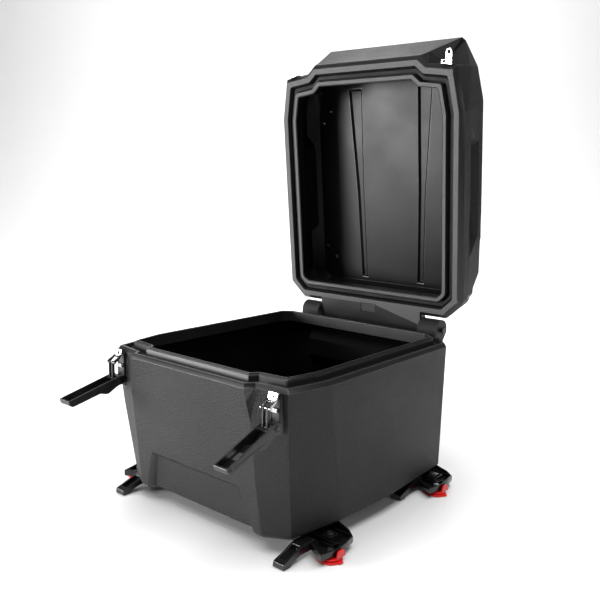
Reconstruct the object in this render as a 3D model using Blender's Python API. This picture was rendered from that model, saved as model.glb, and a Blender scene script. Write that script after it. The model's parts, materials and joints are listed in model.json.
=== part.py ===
"""Hard cargo box for an open rack: a moulded tub with a hinged lid, two over-centre draw latches and
four quick-lock feet. Run with: blender --background --python part.py

Shapes are laid out in millimetres in the tub's own frame: x across the box, y from the front rim to
the hinge, z up from the rim's widest line. LAYOUT turns that frame into metres, with +Z up and the
origin on the floor under the middle of the whole open box."""

import math

import bmesh
import bpy
from mathutils import Matrix, Vector

# ---------------------------------------------------------------- driving dimensions, millimetres
MM = 0.001
GAP = 0.35
FLOOR_DROP = 282.0        # rim line down to the floor
Y_MIDDLE = 248.846         # rim front line back to the middle of the open box

TUB_DEPTH = 256.0         # rim line down to the underside
TUB_WALL = 6.0
FRONT_Y = -15.0           # the proud middle part of the front rim
FRONT_LEAN = 30.0         # how far the front falls back over the tub's depth
CORNER_X, CORNER_Y = 210.0, 8.3
SIDE_X, SIDE_CREASE_Y = 225.5, 93.5
REAR_X, REAR_SIDE_Y = 224.0, 466.0
REAR_CHAMFER_X, REAR_Y = 187.3, 501.0
MIDDLE_Y = 243.0
NOTCH_X, NOTCH_FLOOR_X = 137.6, 148.6
BELLY_Z = -173.0          # where the lower front panel steps in
STEP_Z = -181.0           # the foot of that step
STEP_DEPTH, PANEL_DEPTH = 6.0, 13.0  # how far in the panel is at the step and at the underside

HINGE_Y, HINGE_Z = 527.7, 15.5
OPEN_ANGLE = 84.0         # degrees from shut to the open stop
HINGE_ROD_R = 4.0
HINGE_ROD_HALF = 181.0
KNUCKLE_R = 22.0
KNUCKLE_X = (132.0, 177.0)
FLAP_HALF = 130.0
FLAP_R = 13.5             # the round back of the lid's hinge flap
FLAP_TOP_W = 12.0         # the flap's upper side, over the axis

LID_FACE_W = -7.0         # the lid's mating face, measured from the hinge axis
LID_LINE_W = 2.0          # the lid's widest line
LID_NOTCH_X = 129.6
LID_CEILING_W = 89.5
LID_PLATE_W = 97.0        # the flat of the lid's top, inside its raised ridge
LID_WALL = 10.0
CHANNEL_FLOOR_W = 94.0     # the floor of the two grooves in the lid's ceiling

LATCH_X = 190.0
LEVER_PIN_Y, LEVER_PIN_Z = -8.2, -49.5
LEVER_HALF, LEVER_INNER_HALF = 14.0, 11.3
LEVER_LENGTH = 106.0      # pivot to the pin at the free end
LEVER_DROOP = {"right": 19.5, "left": 10.5}
LINK_OFFSET = (10.6, 5.5)  # the link's lower pin: along the lever, and towards its open side
LINK_LENGTH = 30.0
PIN_R, BORE_R = 1.5, 1.9

FOOT_PITCH = 337.0        # front feet to rear feet
FOOT_TOP_Z, FOOT_BASE_Z = -256.4, -274.0
LOCK_X, LOCK_Y = 244.0, 79.0
LOCK_R = 20.0

LAYOUT = Matrix.Diagonal((MM, MM, MM, 1.0)) @ Matrix.Translation((0.0, -Y_MIDDLE, FLOOR_DROP))

# ---------------------------------------------------------------- scene and object helpers


def clear_scene():
    for obj in list(bpy.data.objects):
        bpy.data.objects.remove(obj, do_unlink=True)


def new_collection(name, hidden=False):
    collection = bpy.data.collections.new(name)
    bpy.context.scene.collection.children.link(collection)
    collection.hide_render = hidden
    return collection


def material(name, color, roughness, metallic=0.0):
    made = bpy.data.materials.new(name)
    made.use_nodes = True
    shader = made.node_tree.nodes["Principled BSDF"]
    shader.inputs["Base Color"].default_value = (*color, 1.0)
    shader.inputs["Roughness"].default_value = roughness
    shader.inputs["Metallic"].default_value = metallic
    made.diffuse_color = (*color, 1.0)
    return made


def at(point):
    """A point of the layout as a place in metres."""
    return LAYOUT @ Vector(point)


def pivot(name, point, rotation=(0.0, 0.0, 0.0)):
    """An empty on a joint's axis, which carries the pieces that turn about it."""
    empty = bpy.data.objects.new(name, None)
    PARTS.objects.link(empty)
    empty.location = at(point)
    empty.rotation_euler = rotation
    empty.empty_display_size = 0.02
    return empty


def place(name, mesh_data, finish, parent=None, smooth=None):
    obj = bpy.data.objects.new(name, mesh_data)
    PARTS.objects.link(obj)
    mesh_data.materials.clear()
    mesh_data.materials.append(finish)
    if parent is None:
        obj.location = at((0.0, 0.0, 0.0))
    else:
        obj.parent = parent
    if smooth:
        mesh_data.shade_smooth()
        mesh_data.set_sharp_from_angle(angle=math.radians(smooth))
    return obj


def mesh_from(bm, name):
    """The mesh of a bmesh whose points are in millimetres, with its faces turned outwards."""
    bmesh.ops.recalc_face_normals(bm, faces=bm.faces)
    bmesh.ops.scale(bm, vec=(MM, MM, MM), verts=bm.verts)
    data = bpy.data.meshes.new(name)
    bm.to_mesh(data)
    bm.free()
    return data


def helper(bm, name, parent):
    """A hidden solid for a Boolean."""
    obj = bpy.data.objects.new(name, mesh_from(bm, name))
    CUTTERS.objects.link(obj)
    obj.hide_render = True
    obj.display_type = "WIRE"
    if parent is None:
        obj.location = at((0.0, 0.0, 0.0))
    else:
        obj.parent = parent
    return obj


def combine(obj, bm, operation, label):
    """Adds a hidden solid to a piece, or takes it away, in the piece's own frame."""
    modifier = obj.modifiers.new(label, "BOOLEAN")
    modifier.operation = operation
    modifier.solver = "EXACT"
    modifier.object = helper(bm, f"{obj.name}_{label}", obj.parent)
    return obj


def fuse(obj, bm, label):
    return combine(obj, bm, "UNION", label)


def cut(obj, bm, label):
    return combine(obj, bm, "DIFFERENCE", label)


# ---------------------------------------------------------------- shape helpers, millimetres


def add_box(bm, low, high, bevel=0.0, segments=1):
    middle = [(a + b) / 2 for a, b in zip(low, high)]
    size = [b - a for a, b in zip(low, high)]
    frame = Matrix.Translation(middle) @ Matrix.Diagonal((*size, 1.0))
    made = bmesh.ops.create_cube(bm, size=1.0, matrix=frame)
    if bevel:
        edges = {edge for vert in made["verts"] for edge in vert.link_edges}
        bmesh.ops.bevel(
            bm, geom=list(edges), offset=bevel, segments=segments, affect="EDGES", profile=0.5
        )


TURN_TO = {
    "x": Matrix.Rotation(math.radians(90), 4, "Y"),
    "y": Matrix.Rotation(math.radians(-90), 4, "X"),
    "z": Matrix.Identity(4),
}


def add_cylinder(bm, start, axis, length, radius, sides=24, top_radius=None):
    """A cylinder or cone frustum from start, running its length along the named axis."""
    step = TURN_TO[axis] @ Vector((0.0, 0.0, length / 2))
    frame = Matrix.Translation(Vector(start) + step) @ TURN_TO[axis]
    bmesh.ops.create_cone(
        bm,
        cap_ends=True,
        segments=sides,
        radius1=radius,
        radius2=radius if top_radius is None else top_radius,
        depth=length,
        matrix=frame,
    )


def add_rod(bm, start, end, radius, sides=16):
    """A cylinder between two points."""
    start, end = Vector(start), Vector(end)
    run = end - start
    frame = Matrix.Translation((start + end) / 2) @ run.to_track_quat("Z", "Y").to_matrix().to_4x4()
    bmesh.ops.create_cone(
        bm, cap_ends=True, segments=sides, radius1=radius, radius2=radius, depth=run.length, matrix=frame
    )


def add_prism(bm, outline, axis, low, high):
    """A flat outline given in the two other axes, in order, and drawn out from low to high."""
    def corner(a, b):
        return {"x": (low, a, b), "y": (a, low, b), "z": (a, b, low)}[axis]

    face = bm.faces.new([bm.verts.new(corner(*point)) for point in outline])
    drawn = bmesh.ops.extrude_face_region(bm, geom=[face], use_keep_orig=True)["geom"]
    run = Vector([high - low if name == axis else 0.0 for name in "xyz"])
    moved = [item for item in drawn if isinstance(item, bmesh.types.BMVert)]
    bmesh.ops.translate(bm, verts=moved, vec=run)


def add_turned(bm, rows, steps):
    """A solid turned about z from its outer profile of (radius, height), closed on the axis."""
    profile = [(0.0, rows[0][1]), *rows, (0.0, rows[-1][1])]
    verts = [bm.verts.new((r, 0.0, z)) for r, z in profile]
    edges = [bm.edges.new(pair) for pair in zip(verts, verts[1:])]
    bmesh.ops.spin(
        bm, geom=verts + edges, cent=(0, 0, 0), axis=(0, 0, 1), angle=2 * math.pi, steps=steps,
        use_merge=True,
    )
    bmesh.ops.remove_doubles(bm, verts=bm.verts, dist=0.001)


def arc(centre, radius, start, stop, steps):
    angles = [math.radians(start + (stop - start) * i / steps) for i in range(steps + 1)]
    return [(centre[0] + radius * math.cos(a), centre[1] + radius * math.sin(a)) for a in angles]


def add_loft(bm, rings, closed=False, middle=None):
    """A skin through rings that all have the same number of points. The end rings are capped, or
    joined to each other when the loft is closed. Given a middle as (x, y), each twisted quad is
    split along the diagonal that dips towards it, so that both sides of the box come out alike."""
    rows = [[bm.verts.new(point) for point in ring] for ring in rings]
    count = len(rows[0])
    pairs = list(zip(rows, rows[1:])) + ([(rows[-1], rows[0])] if closed else [])
    for lower, upper in pairs:
        for i in range(count):
            j = (i + 1) % count
            quad = (lower[i], lower[j], upper[j], upper[i])
            if middle and twist(quad) > 0.02:
                split_quad(bm, quad, middle)
            else:
                bm.faces.new(quad)
    if not closed:
        bm.faces.new(rows[0])
        bm.faces.new(rows[-1])


def twist(quad):
    """How far the fourth corner is off the plane of the first three."""
    a, b, c, d = (vert.co for vert in quad)
    normal = (b - a).cross(c - a)
    return abs(normal.normalized().dot(d - a)) if normal.length > 1e-6 else 0.0


def split_quad(bm, quad, middle):
    a, b, c, d = quad
    one, two = (a.co + c.co) / 2, (b.co + d.co) / 2
    if math.dist(one.xy, middle) < math.dist(two.xy, middle):
        corners = ((a, b, c), (a, c, d))
    else:
        corners = ((a, b, d), (b, c, d))
    for three in corners:
        bm.faces.new(three)


def inset(outline, distance):
    """The closed outline, wound anticlockwise, moved inwards by a distance with mitred corners."""
    moved = []
    count = len(outline)
    for i, here in enumerate(outline):
        before, after = Vector(outline[i - 1]), Vector(outline[(i + 1) % count])
        here = Vector(here)
        one, two = (here - before).normalized(), (after - here).normalized()
        normal_one, normal_two = Vector((-one.y, one.x)), Vector((-two.y, two.x))
        middle = (normal_one + normal_two).normalized()
        moved.append(here + middle * distance / max(middle.dot(normal_one), 0.3))
    return moved


def softened(outline, corners):
    """The outline with each corner that has a radius turned into a short arc."""
    points = []
    count = len(outline)
    for i, here in enumerate(outline):
        radius, steps = corners[i]
        if not steps:
            points.append(Vector(here))
            continue
        here = Vector(here)
        one = (Vector(outline[i - 1]) - here).normalized()
        two = (Vector(outline[(i + 1) % count]) - here).normalized()
        half = one.angle(two) / 2
        reach = radius / math.tan(half)
        start, stop = here + one * reach, here + two * reach
        for step in range(steps + 1):
            t = step / steps
            blend = start.lerp(here, t).lerp(here.lerp(stop, t), t)
            points.append(blend)
    return points


def whole(half):
    """A ring that is symmetric about x = 0, from its right half, front first."""
    return list(half) + [(-x, y) for x, y in reversed(half)]


def mixed(one, two, t):
    return [(a[0] + (b[0] - a[0]) * t, a[1] + (b[1] - a[1]) * t) for a, b in zip(one, two)]


def lifted(outline, z):
    return [(x, y, z) for x, y in outline]


# ---------------------------------------------------------------- tub


def tub_half(z):
    """The right half of the tub's outer outline at a height: two points for the sloping lower panel,
    the edge of the front, the latch pocket, the corner, the side crease, the side, the rear corner."""
    share = min(-z / TUB_DEPTH, 1.0)
    front = FRONT_Y + FRONT_LEAN * share
    belly = max(0.0, (BELLY_Z - z) / (TUB_DEPTH + BELLY_Z))
    panel_out = 110.0 + 29.0 * belly
    if z > STEP_Z:
        depth = STEP_DEPTH * max(0.0, (BELLY_Z - z) / (BELLY_Z - STEP_Z))
    else:
        depth = STEP_DEPTH + (PANEL_DEPTH - STEP_DEPTH) * belly
    pocket = max(0.0, 1.0 + z / 52.0)
    edge_x = NOTCH_X * pocket + (147.0 + 3.0 * share) * (1.0 - pocket)
    corner = (CORNER_X - 15.5 * share, 3.0 + 37.0 * share + 5.3 * max(0.0, 1.0 + z / 99.0))
    edge = (edge_x, front)
    if pocket:
        floor = (NOTCH_FLOOR_X + 3.0 * (1.0 - pocket), front + 15.0 * pocket + 1.0 - pocket)
    else:
        floor = mixed([edge], [corner], 0.1)[0]
    return [
        (panel_out - 12.0, front + depth),
        (panel_out, front),
        edge,
        floor,
        corner,
        (SIDE_X - 12.0 * share, SIDE_CREASE_Y + 56.0 * share),
        (SIDE_X - 0.5 - 2.5 * share, 288.0),
        (REAR_X - 10.0 * share, REAR_SIDE_Y + 12.0 * share),
        (REAR_CHAMFER_X - 9.0 * share, REAR_Y - 1.0 * share),
    ]


TUB_CORNERS = [(0, 0), (0, 0), (0, 0), (0, 0), (4.0, 2), (0, 0), (0, 0), (8.0, 2), (8.0, 2)]


def tub_ring(z, distance=0.0, level=None, radius=1.0):
    half = tub_half(z)
    outline = inset(whole(half), distance) if distance else whole(half)
    corners = [(r * radius, k) for r, k in TUB_CORNERS]
    corners = corners + corners[::-1]
    return lifted(softened(outline, corners), z if level is None else level)


def tub():
    """One shell: underside, outer wall, rim, groove, sealing bead, inner wall, inner floor."""
    outer = [tub_ring(-TUB_DEPTH, 9.0)]
    outer += [tub_ring(z) for z in (-248.0, STEP_Z, BELLY_Z, -99.0, -52.0, -20.0, 0.0)]
    rim = [(3.0, 6.0), (4.5, 7.5), (9.0, 7.5), (10.5, 0.5), (22.0, 0.5), (23.5, 4.0)]
    bead = [(24.0, 13.5), (24.8, 14.8), (26.5, 14.8), (27.2, 14.0), (28.0, 16.2), (29.0, 17.0)]
    bead += [(30.5, 17.0), (31.5, 15.5), (31.5, -6.0)]
    top = [tub_ring(0.0, d, level, radius=1.6) for d, level in rim + bead]
    inner = [tub_ring(-20.0, TUB_WALL + 1.0, -19.0)]
    inner += [tub_ring(z, TUB_WALL) for z in (-52.0, -99.0, BELLY_Z, STEP_Z, -242.0)]
    inner += [tub_ring(-242.0, 15.0, -TUB_DEPTH + TUB_WALL + 1.0)]
    bm = bmesh.new()
    add_loft(bm, outer + top + inner, middle=(0.0, MIDDLE_Y))
    shell = place("tub", mesh_from(bm, "tub"), BODY_PLASTIC, smooth=25)
    for side, sign in SIDES:
        fuse(shell, knuckle(sign), f"knuckle_{side}")
        fuse(shell, underside_rib(sign), f"rib_{side}")
    return fuse(shell, rear_ledge(), "rear_ledge")


def rear_ledge():
    """The thick part of the rear wall inside, which backs the hinge and slopes at its top and foot."""
    rings = []
    for y, half, foot_z, top_z in ((460.0, 118.0, -72.0, -36.0), (498.0, 135.0, -112.0, -12.0)):
        rings.append([(-half, y, foot_z), (half, y, foot_z), (half, y, top_z), (-half, y, top_z)])
    bm = bmesh.new()
    add_loft(bm, rings)
    return bm


def bored_ring(bm, outline, centre, radius, low, high):
    """A plate drawn along x from an outline of (y, z) points, with a round bore along x. The bore's
    points face the outline's, so the two have the same number."""
    count = len(outline)
    first = math.atan2(outline[0][1] - centre[1], outline[0][0] - centre[0])
    turns = [first + 2 * math.pi * i / count for i in range(count)]
    bore = [(centre[0] + radius * math.cos(a), centre[1] + radius * math.sin(a)) for a in turns]
    rings = [
        [(low, y, z) for y, z in outline],
        [(high, y, z) for y, z in outline],
        [(high, y, z) for y, z in bore],
        [(low, y, z) for y, z in bore],
    ]
    add_loft(bm, rings, closed=True)


def knuckle(sign):
    """The tub's half of the hinge: a rounded lug on the rear wall, bored for the rod."""
    lug = arc((HINGE_Y, HINGE_Z), KNUCKLE_R, -20.0, 190.0, 14)
    lug += [(504.5, 4.0), (497.5, -2.0), (497.5, -30.0), (505.0, -38.0), (520.0, -26.0)]
    bm = bmesh.new()
    low, high = sorted((sign * KNUCKLE_X[0], sign * KNUCKLE_X[1]))
    bored_ring(bm, lug, (HINGE_Y, HINGE_Z), HINGE_ROD_R + GAP, low, high)
    return bm


def underside_rib(sign):
    """A short skid rib under each side of the tub, between the feet."""
    bm = bmesh.new()
    low, high = sorted((sign * 178.0, sign * 204.0))
    add_prism(bm, [(204.0, -250.0), (226.0, -250.0), (222.0, -260.0), (208.0, -260.0)], "x", low, high)
    return bm


# ---------------------------------------------------------------- lid, laid out shut


# Half outlines of the lid, front first, measured from the hinge axis: its widest line as (x, y), then
# the top edge and the shoulder as (x, y, w), with w up from the axis.
LID_LINE = [
    (60.0, -543.9),
    (100.0, -543.9),
    (LID_NOTCH_X, -543.9),
    (NOTCH_FLOOR_X, -527.7),
    (CORNER_X, -519.4),
    (SIDE_X, -434.2),
    (SIDE_X - 0.5, -240.0),
    (REAR_X, -61.8),
    (REAR_CHAMFER_X, -26.8),
]
LID_TOP = [
    (60.0, -578.0, 112.0),
    (110.0, -578.0, 112.0),
    (164.0, -578.0, 112.0),
    (171.0, -572.0, 112.0),
    (199.0, -520.0, 110.0),
    (214.0, -455.0, 106.0),
    (216.0, -240.0, 100.0),
    (213.0, -108.0, 97.0),
    (190.0, -40.0, 94.0),
]
LID_SHOULDER = [
    (60.0, -550.5, 24.0),
    (100.0, -550.5, 24.0),
    (136.0, -550.5, 24.0),
    (152.0, -530.0, 58.0),
    (208.0, -521.0, 58.0),
    (223.5, -438.0, 24.0),
    (223.5, -240.0, 24.0),
    (222.0, -66.0, 24.0),
    (187.5, -29.0, 24.0),
]
LID_CORNERS = [(0, 0), (0, 0), (0, 0), (0, 0), (4.0, 2), (0, 0), (0, 0), (8.0, 2), (8.0, 2)]


def lid_ring(distance, w, radius=1.0):
    outline = inset(whole(LID_LINE), distance) if distance else whole(LID_LINE)
    corners = [(r * radius, k) for r, k in LID_CORNERS]
    return lifted(softened(outline, corners + corners[::-1]), w)


def lid_level_ring(half, distance=0.0, drop=0.0):
    """A ring through points of unlike heights, which keep their heights when it is inset."""
    flat = whole([(x, y) for x, y, _ in half])
    flat = inset(flat, distance) if distance else flat
    heights = [w for _, _, w in half]
    heights = heights + heights[::-1]
    corners = LID_CORNERS + LID_CORNERS[::-1]
    points = softened(flat, corners)
    spread = [w for w, (_, steps) in zip(heights, corners) for _ in range(steps + 1)]
    return [(p[0], p[1], w - drop) for p, w in zip(points, spread)]


def lid():
    """One shell: top plate, raised ridge, outer wall, mating face, gasket channel, lip, inside."""
    top_inner = [(x * 0.86, -300.0 + (y + 300.0) * 0.86, LID_PLATE_W) for x, y, w in LID_TOP]
    outer = [lid_level_ring(top_inner), lid_level_ring(LID_TOP, 16.0, 1.0)]
    outer += [lid_level_ring(LID_TOP, 6.0), lid_level_ring(LID_TOP, 0.0, 6.0)]
    outer += [lid_level_ring(LID_SHOULDER), lid_ring(0.0, LID_LINE_W)]
    face = [(7.0, LID_FACE_W + 1.0), (9.0, LID_FACE_W), (19.0, LID_FACE_W), (22.4, 1.0), (22.4, 9.0)]
    face += [(34.0, 9.0), (34.0, 1.0), (35.3, LID_FACE_W), (36.0, LID_FACE_W - 0.5)]
    face += [(42.0, LID_FACE_W - 0.5)]
    face += [(44.0, LID_FACE_W + 1.0), (44.5, 14.0)]
    rim = [lid_ring(d, w, radius=1.6) for d, w in face]
    inner = [(LID_WALL, 24.0), (LID_WALL + 2.0, 68.0), (34.0, LID_CEILING_W)]
    rim += [lid_ring(d, w, 1.6) for d, w in inner]
    bm = bmesh.new()
    add_loft(bm, outer + rim)
    shell = place("lid_shell", mesh_from(bm, "lid_shell"), BODY_PLASTIC, LID_PIVOT, smooth=25)
    fuse(shell, hinge_flap(), "flap")
    for side, sign in SIDES:
        fuse(shell, side_loft(sign, BULGE_CREST, BULGE_ROOT), f"bulge_{side}")
        cut(shell, side_loft(sign, GRAB_FLOOR, GRAB_MOUTH), f"grab_{side}")
        cut(shell, ceiling_channel(sign), f"channel_{side}")
    cut(shell, blank_recess(), "blank")
    return shell


def hinge_flap():
    """The lid's half of the hinge, level with its mating face and round behind, bored for the rod."""
    back = arc((0.0, 0.0), FLAP_R, -128.0, 90.0, 12)
    outline = [(-36.0, LID_FACE_W), (-6.2, LID_FACE_W), (5.0, LID_FACE_W)]
    outline += [(y, z) for y, z in back if z > LID_FACE_W and y > 5.0]
    outline += [(-2.0, FLAP_TOP_W), (-32.0, FLAP_TOP_W + 6.0), (-36.0, 0.0)]
    bm = bmesh.new()
    bored_ring(bm, outline, (0.0, 0.0), HINGE_ROD_R + GAP, -FLAP_HALF, FLAP_HALF)
    return bm


# The finger grab in each side of the lid, from its floor out to just clear of the wall, and the
# swelling that closes it inside. Each ring runs anticlockwise as (y, w), at its own distance out.
GRAB_FLOOR = (191.0, [(-178.0, 24.0), (-194.0, 54.0), (-352.0, 54.0), (-372.0, 24.0)])
GRAB_MOUTH = (232.0, [(-141.0, 35.5), (-186.0, 89.0), (-390.5, 88.0), (-419.5, 34.0)])
BULGE_CREST = (184.0, [(-168.0, 14.0), (-190.0, 61.0), (-356.0, 61.0), (-382.0, 14.0)])
BULGE_ROOT = (217.0, [(-140.0, 14.0), (-180.0, 90.0), (-391.0, 90.0), (-419.0, 14.0)])


def side_loft(sign, *levels):
    bm = bmesh.new()
    add_loft(bm, [[(sign * out, y, w) for y, w in ring] for out, ring in levels])
    return bm


def ceiling_channel(sign):
    """A groove with sloping sides in the lid's ceiling, which narrows towards the hinge."""
    outline = [(73.0, -490.0), (104.0, -490.0), (87.0, -271.0), (80.0, -72.0), (68.0, -72.0), (73.0, -271.0)]
    rings = []
    for distance, w in ((-3.0, LID_CEILING_W - 1.0), (2.2, CHANNEL_FLOOR_W)):
        rings.append([(sign * x, y, w) for x, y in inset(outline, distance)])
    bm = bmesh.new()
    add_loft(bm, rings)
    return bm


def blank_recess():
    bm = bmesh.new()
    add_box(bm, (-20.0, -37.0, LID_FACE_W - 2.0), (20.0, -16.0, LID_FACE_W + 2.0), 1.8, 2)
    return bm


def blank_plate():
    """The plain filler in the hinge flap's recess."""
    bm = bmesh.new()
    low, high = (-19.0, -36.0, LID_FACE_W + 0.4), (19.0, -17.0, LID_FACE_W + 2.0 - GAP)
    add_box(bm, low, high, 0.5)
    return place("lid_blank_plate", mesh_from(bm, "lid_blank_plate"), MOULDED_NYLON, LID_PIVOT)


def gasket():
    """A closed ring of rubber in the lid's channel, with a clear gap to the channel's walls."""
    section = [(23.0, 8.6), (32.0, 8.6), (32.0, 4.0), (30.5, 2.2), (24.5, 2.2), (23.0, 4.0)]
    bm = bmesh.new()
    add_loft(bm, [lid_ring(d, w, 1.6) for d, w in section], closed=True)
    return place("lid_gasket", mesh_from(bm, "lid_gasket"), SEAL_RUBBER, LID_PIVOT, smooth=30)


DOME = [(7.5, 0.0), (7.5, 0.8), (6.3, 2.6), (4.2, 3.8), (1.5, 4.4)]
STUDS = [(159.0, -448.0), (181.0, -422.0), (180.0, -134.0), (155.0, -109.0)]


def lid_studs():
    """Domed fixings on the lid's ceiling, two pairs a side."""
    for side, sign in SIDES:
        for number, (x, y) in enumerate(STUDS, 1):
            name = f"lid_stud_{side}_{number}"
            bm = bmesh.new()
            add_turned(bm, DOME, 20)
            bmesh.ops.transform(bm, matrix=Matrix.Rotation(math.pi, 4, "X"), verts=bm.verts)
            bmesh.ops.translate(bm, verts=bm.verts, vec=(sign * x, y, LID_CEILING_W - GAP))
            place(name, mesh_from(bm, name), MOULDED_NYLON, LID_PIVOT, smooth=40)


def hinge_rod():
    bm = bmesh.new()
    add_cylinder(bm, (-HINGE_ROD_HALF, HINGE_Y, HINGE_Z), "x", 2 * HINGE_ROD_HALF, HINGE_ROD_R, 24)
    place("hinge_rod", mesh_from(bm, "hinge_rod"), PLATED_STEEL, smooth=40)
    for side, sign in SIDES:
        bm = bmesh.new()
        start = sign * (HINGE_ROD_HALF + GAP)
        add_cylinder(bm, (min(start, start + sign * 3.0), HINGE_Y, HINGE_Z), "x", 3.0, 8.0, 24)
        name = f"hinge_cap_{side}"
        place(name, mesh_from(bm, name), MOULDED_NYLON, smooth=40)


# ---------------------------------------------------------------- draw latches


def facet_y(x, z):
    """The tub's corner facet, straight from the pocket's floor to the corner."""
    _, _, _, floor, corner = tub_half(z)[:5]
    share = (x - floor[0]) / (corner[0] - floor[0])
    return floor[1] + (corner[1] - floor[1]) * share


def latch_base(side, sign):
    """The bracket in the corner pocket, with the round boss that the lever turns on."""
    name = f"latch_base_{side}"
    left, right = LATCH_X - 10.0, LATCH_X + 10.5
    rings = []
    for z in (-63.0, -60.0, -52.0, -20.0, -4.0, -2.0):
        front = 1.5 if z in (-60.0, -52.0, -20.0, -4.0) else 2.2
        back = [(right, facet_y(right, z) - GAP - 0.2), (left, facet_y(left, z) - GAP - 0.2)]
        ring = [(left, front), (right, front), *back]
        rings.append([(sign * x, y, z) for x, y in ring])
    bm = bmesh.new()
    add_loft(bm, rings)
    base = place(name, mesh_from(bm, name), MOULDED_NYLON, smooth=30)
    boss = arc((LEVER_PIN_Y, LEVER_PIN_Z), 6.5, 100.0, 262.0, 10)
    boss += [(2.4, LEVER_PIN_Z - 7.5), (2.4, LEVER_PIN_Z + 5.5)]
    bm = bmesh.new()
    low, high = sorted((sign * (LATCH_X - 9.6), sign * (LATCH_X + 9.6)))
    bored_ring(bm, boss, (LEVER_PIN_Y, LEVER_PIN_Z), 2.5 + GAP, low, high)
    fuse(base, bm, "boss")
    bm = bmesh.new()
    low, high = (LATCH_X - 5.5, -1.5, -29.5), (LATCH_X + 5.5, 2.5, -22.0)
    add_box(bm, mirrored_low(low, high, sign), mirrored_high(low, high, sign), 1.0)
    fuse(base, bm, "bumper")
    return base


def mirrored_low(low, high, sign):
    return (min(sign * low[0], sign * high[0]), low[1], low[2])


def mirrored_high(low, high, sign):
    return (max(sign * low[0], sign * high[0]), high[1], high[2])


# The lever's side, as (distance from the pivot towards the tip, distance to its closed side).
LEVER_OUTER = [(8.0, 7.9), (18.0, 10.5), (30.0, 14.3), (33.5, 14.3), (38.3, 12.8), (46.0, 8.6), (50.0, 8.0)]
LEVER_OUTER += [(98.6, 9.2), (106.5, 8.6), (110.6, 5.0), (112.0, 0.0), (111.7, -3.6), (110.0, -4.4)]
LEVER_OUTER += [(5.5, -8.8)]
LEVER_CAVITY = [(-30.0, 30.0), (8.5, 30.0), (8.5, 5.4), (18.0, 8.0), (30.0, 11.8), (33.5, 11.8), (38.3, 10.3)]
LEVER_CAVITY += [(46.0, 6.1), (50.0, 5.5), (98.6, 6.7), (105.5, 6.1), (108.2, 4.0), (109.0, 0.0)]
LEVER_CAVITY += [(108.8, -30.0), (-30.0, -30.0)]


def in_lever(points):
    """Points of (along, across) as (y, z) of a level lever that points to -y."""
    return [(-s, -t) for s, t in points]


def lever(side, sign, turn):
    name = f"latch_lever_{side}"
    root = [(8.6 * math.cos(math.radians(a)), 8.6 * math.sin(math.radians(a))) for a in range(250, 80, -17)]
    bm = bmesh.new()
    add_prism(bm, in_lever(LEVER_OUTER + root), "x", -LEVER_HALF, LEVER_HALF)
    made = place(name, mesh_from(bm, name), MOULDED_NYLON, turn, smooth=35)
    bm = bmesh.new()
    add_prism(bm, in_lever(LEVER_CAVITY), "x", -LEVER_INNER_HALF, LEVER_INNER_HALF)
    cut(made, bm, "channel")
    bm = bmesh.new()
    add_cylinder(bm, (-20.0, 0.0, 0.0), "x", 40.0, 2.5 + GAP, 20)
    cut(made, bm, "pivot_bore")
    bm = bmesh.new()
    add_cylinder(bm, (-20.0, -LINK_OFFSET[0], LINK_OFFSET[1]), "x", 40.0, BORE_R, 16)
    cut(made, bm, "link_bore")
    bm = bmesh.new()
    add_cylinder(bm, (-20.0, -LEVER_LENGTH, 0.0), "x", 40.0, BORE_R, 16)
    cut(made, bm, "tip_bore")
    bm = bmesh.new()
    low, high = (-9.0, -80.0, -14.0), (6.5, -64.0, -3.0)
    add_box(bm, mirrored_low(low, high, sign), mirrored_high(low, high, sign))
    cut(made, bm, "padlock_slot")
    return made


def steel_pin(name, parent, y, z, half, radius=PIN_R, head=None):
    bm = bmesh.new()
    add_cylinder(bm, (-half, y, z), "x", 2 * half, radius, 16)
    pin = place(name, mesh_from(bm, name), CHROMED_STEEL, parent, smooth=40)
    if head:
        for label, start in (("head_a", -half - 0.8), ("head_b", half - 0.4)):
            bm = bmesh.new()
            add_cylinder(bm, (start, y, z), "x", 1.2, head, 16)
            fuse(pin, bm, label)
    return pin


def link(side, turn):
    """Twin bars, which carry the pull from the lever to the hook, on a cross pin of their own."""
    name = f"latch_link_{side}"
    bm = bmesh.new()
    add_cylinder(bm, (-LEVER_HALF + 0.2, 0.0, 0.0), "x", 2 * LEVER_HALF - 0.4, PIN_R, 16)
    made = place(name, mesh_from(bm, name), MOULDED_NYLON, turn, smooth=35)
    for label, x in (("bar_a", -5.6), ("bar_b", 3.2)):
        bar = arc((0.0, 0.0), 2.7, 180.0, 360.0, 8) + arc((0.0, LINK_LENGTH), 2.7, 0.0, 180.0, 8)
        bm = bmesh.new()
        add_prism(bm, bar, "x", x, x + 2.4)
        fuse(made, bm, label)
    bm = bmesh.new()
    add_box(bm, (-4.0, 0.2, 7.0), (4.0, 2.0, LINK_LENGTH - 6.0))
    fuse(made, bm, "tie")
    bm = bmesh.new()
    add_cylinder(bm, (-8.0, 0.0, LINK_LENGTH), "x", 16.0, BORE_R, 16)
    cut(made, bm, "hook_bore")
    return made


HOOK_BEND, HOOK_TOP, HOOK_LIP = (13.0, 9.0), (17.0, 20.0), (21.6, 18.6)
SHEET = 1.5


def strip(points, thickness):
    """The outline of a bent strip of even thickness along a run of points."""
    left, right = [], []
    for i, here in enumerate(points):
        before = Vector(points[max(i - 1, 0)])
        after = Vector(points[min(i + 1, len(points) - 1)])
        here = Vector(here)
        one = (here - before).normalized() if i else (after - here).normalized()
        two = (after - here).normalized() if i < len(points) - 1 else one
        normal = Vector((-(one + two).y, (one + two).x)).normalized()
        reach = thickness / 2 / max(normal.dot(Vector((-one.y, one.x))), 0.4)
        left.append(here + normal * reach)
        right.append(here - normal * reach)
    return [(p.x, p.y) for p in left + right[::-1]]


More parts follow.
